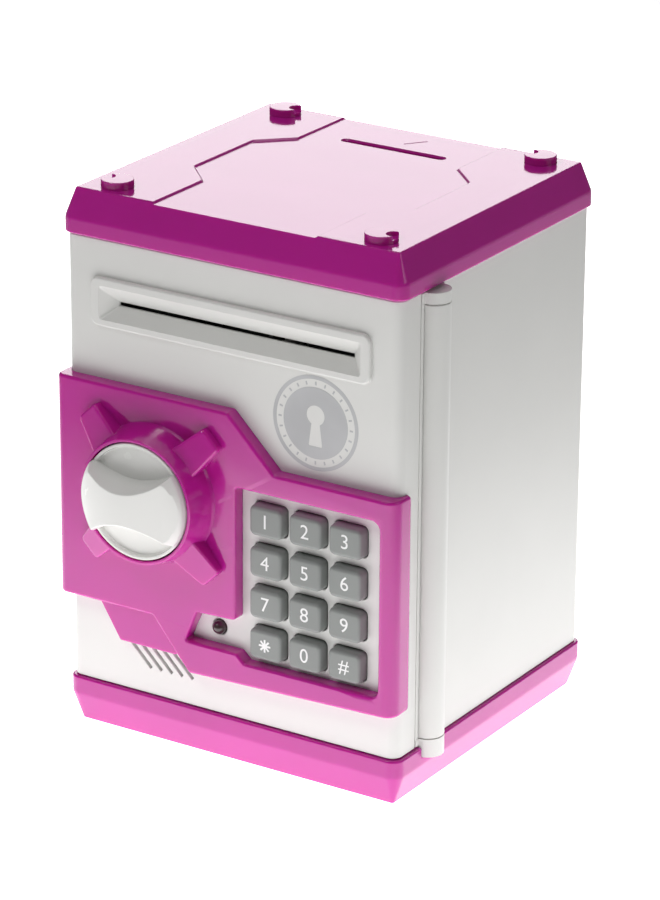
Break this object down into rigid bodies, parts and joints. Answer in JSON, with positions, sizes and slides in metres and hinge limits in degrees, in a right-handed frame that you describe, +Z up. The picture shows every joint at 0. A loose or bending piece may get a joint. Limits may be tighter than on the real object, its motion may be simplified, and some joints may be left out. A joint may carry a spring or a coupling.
{
  "type": "toy safe coin bank",
  "caption": "Toy safe money box with a coin slot in its lid, a hinged front door with a number keypad, a turning knob latch and a banknote feeder.",
  "frame": {"origin": "centre of the base's underside, on the surface the bank stands on", "axes": "+Z up; +X to the right seen from the front; the door faces -Y"},
  "size_m": [0.1366, 0.1463, 0.1927],
  "materials": {
    "magenta_plastic": "glossy moulded ABS",
    "white_plastic": "smooth moulded ABS, light satin sheen",
    "knob_plastic": "smooth moulded ABS",
    "key_rubber": "matte moulded key caps with printed glyphs",
    "silicone_mat": "soft silicone sheet",
    "steel": "nickel plated steel",
    "board": "green circuit board",
    "led_lens": "dark tinted lens",
    "speaker": "black pressed basket",
    "cell_wrap": "plain printed cell sleeve",
    "solenoid": "zinc plated yoke with a wound coil",
    "frame_plastic": "black moulded frame",
    "motor_can": "drawn steel can",
    "tyre": "matte rubber",
    "gear_plastic": "natural acetal",
    "brass": "pressed brass pinion"
  },
  "bodies": {
    "cabinet": {"base_tray": "magenta_plastic", "cabinet_shell": "white_plastic", "top_cover": "magenta_plastic", "base_screw_1": "steel", "base_screw_2": "steel", "base_screw_3": "steel", "base_screw_4": "steel"},
    "door": {"door_front_shell": "white_plastic", "door_back_plate": "white_plastic", "fascia_panel": "magenta_plastic", "door_screw_1": "steel", "door_screw_2": "steel", "door_screw_3": "steel", "door_screw_4": "steel", "hinge_pin_upper": "steel", "hinge_pin_lower": "steel", "lock_solenoid": "solenoid", "keypad_mat": "silicone_mat", "main_board": "board", "status_led": "led_lens", "speaker": "speaker", "battery_cell_1": "cell_wrap", "battery_cell_2": "cell_wrap", "battery_cell_3": "cell_wrap", "contact_negative": "steel", "contact_bridge_right": "steel", "contact_bridge_left": "steel", "contact_positive": "steel", "battery_cover": "white_plastic", "battery_cover_screw": "steel", "feed_frame": "frame_plastic", "feed_motor": "motor_can"},
    "knob": {"knob": "knob_plastic", "latch_cam": "knob_plastic", "latch_screw": "steel"},
    "lock_plunger": {"lock_plunger": "steel"},
    "drive_roller": {"drive_axle": "steel", "drive_tyre_left": "tyre", "drive_tyre_right": "tyre", "drive_gear": "gear_plastic"},
    "pinch_roller": {"pinch_roller": "tyre"},
    "idler_gear": {"idler_gear": "gear_plastic"},
    "motor_pinion": {"motor_pinion": "brass"},
    "key_1": {"key_1": "key_rubber"},
    "key_2": {"key_2": "key_rubber"},
    "key_3": {"key_3": "key_rubber"},
    "key_4": {"key_4": "key_rubber"},
    "key_5": {"key_5": "key_rubber"},
    "key_6": {"key_6": "key_rubber"},
    "key_7": {"key_7": "key_rubber"},
    "key_8": {"key_8": "key_rubber"},
    "key_9": {"key_9": "key_rubber"},
    "key_star": {"key_star": "key_rubber"},
    "key_0": {"key_0": "key_rubber"},
    "key_hash": {"key_hash": "key_rubber"}
  },
  "joints": [
    {"name": "door_hinge", "type": "hinge", "parent": "cabinet", "child": "door", "pos_m": [0.0648, -0.0406, 0.095], "axis": [0, 0, 1], "range_deg": [0, 110]},
    {"name": "knob_turn", "type": "hinge", "parent": "door", "child": "knob", "pos_m": [-0.027, -0.06, 0.0928], "axis": [0, -1, 0], "range_deg": [0, 90]},
    {"name": "lock_slide", "type": "slide", "parent": "door", "child": "lock_plunger", "axis": [0, 0, 1], "range_m": [0, 0.004]},
    {"name": "drive_roller_spin", "type": "hinge", "parent": "door", "child": "drive_roller", "pos_m": [0, -0.0495, 0.1472], "axis": [1, 0, 0], "continuous": true},
    {"name": "pinch_roller_spin", "type": "hinge", "parent": "door", "child": "pinch_roller", "pos_m": [0, -0.0495, 0.1576], "axis": [1, 0, 0], "continuous": true},
    {"name": "idler_gear_spin", "type": "hinge", "parent": "door", "child": "idler_gear", "pos_m": [0.019, -0.0453, 0.13992], "axis": [1, 0, 0], "continuous": true},
    {"name": "motor_pinion_spin", "type": "hinge", "parent": "door", "child": "motor_pinion", "pos_m": [0.021, -0.0404, 0.14841], "axis": [1, 0, 0], "continuous": true},
    {"name": "key_1_press", "type": "slide", "parent": "door", "child": "key_1", "axis": [0, 1, 0], "range_m": [0, 0.0015], "stiffness_N_per_m": 300, "springref_m": -0.0008},
    {"name": "key_2_press", "type": "slide", "parent": "door", "child": "key_2", "axis": [0, 1, 0], "range_m": [0, 0.0015], "stiffness_N_per_m": 300, "springref_m": -0.0008},
    {"name": "key_3_press", "type": "slide", "parent": "door", "child": "key_3", "axis": [0, 1, 0], "range_m": [0, 0.0015], "stiffness_N_per_m": 300, "springref_m": -0.0008},
    {"name": "key_4_press", "type": "slide", "parent": "door", "child": "key_4", "axis": [0, 1, 0], "range_m": [0, 0.0015], "stiffness_N_per_m": 300, "springref_m": -0.0008},
    {"name": "key_5_press", "type": "slide", "parent": "door", "child": "key_5", "axis": [0, 1, 0], "range_m": [0, 0.0015], "stiffness_N_per_m": 300, "springref_m": -0.0008},
    {"name": "key_6_press", "type": "slide", "parent": "door", "child": "key_6", "axis": [0, 1, 0], "range_m": [0, 0.0015], "stiffness_N_per_m": 300, "springref_m": -0.0008},
    {"name": "key_7_press", "type": "slide", "parent": "door", "child": "key_7", "axis": [0, 1, 0], "range_m": [0, 0.0015], "stiffness_N_per_m": 300, "springref_m": -0.0008},
    {"name": "key_8_press", "type": "slide", "parent": "door", "child": "key_8", "axis": [0, 1, 0], "range_m": [0, 0.0015], "stiffness_N_per_m": 300, "springref_m": -0.0008},
    {"name": "key_9_press", "type": "slide", "parent": "door", "child": "key_9", "axis": [0, 1, 0], "range_m": [0, 0.0015], "stiffness_N_per_m": 300, "springref_m": -0.0008},
    {"name": "key_star_press", "type": "slide", "parent": "door", "child": "key_star", "axis": [0, 1, 0], "range_m": [0, 0.0015], "stiffness_N_per_m": 300, "springref_m": -0.0008},
    {"name": "key_0_press", "type": "slide", "parent": "door", "child": "key_0", "axis": [0, 1, 0], "range_m": [0, 0.0015], "stiffness_N_per_m": 300, "springref_m": -0.0008},
    {"name": "key_hash_press", "type": "slide", "parent": "door", "child": "key_hash", "axis": [0, 1, 0], "range_m": [0, 0.0015], "stiffness_N_per_m": 300, "springref_m": -0.0008}
  ],
  "couplings": [
    {"joint": "idler_gear_spin", "follows": "drive_roller_spin", "ratio": -2},
    {"joint": "motor_pinion_spin", "follows": "drive_roller_spin", "ratio": 5},
    {"joint": "pinch_roller_spin", "follows": "drive_roller_spin", "ratio": -1}
  ]
}
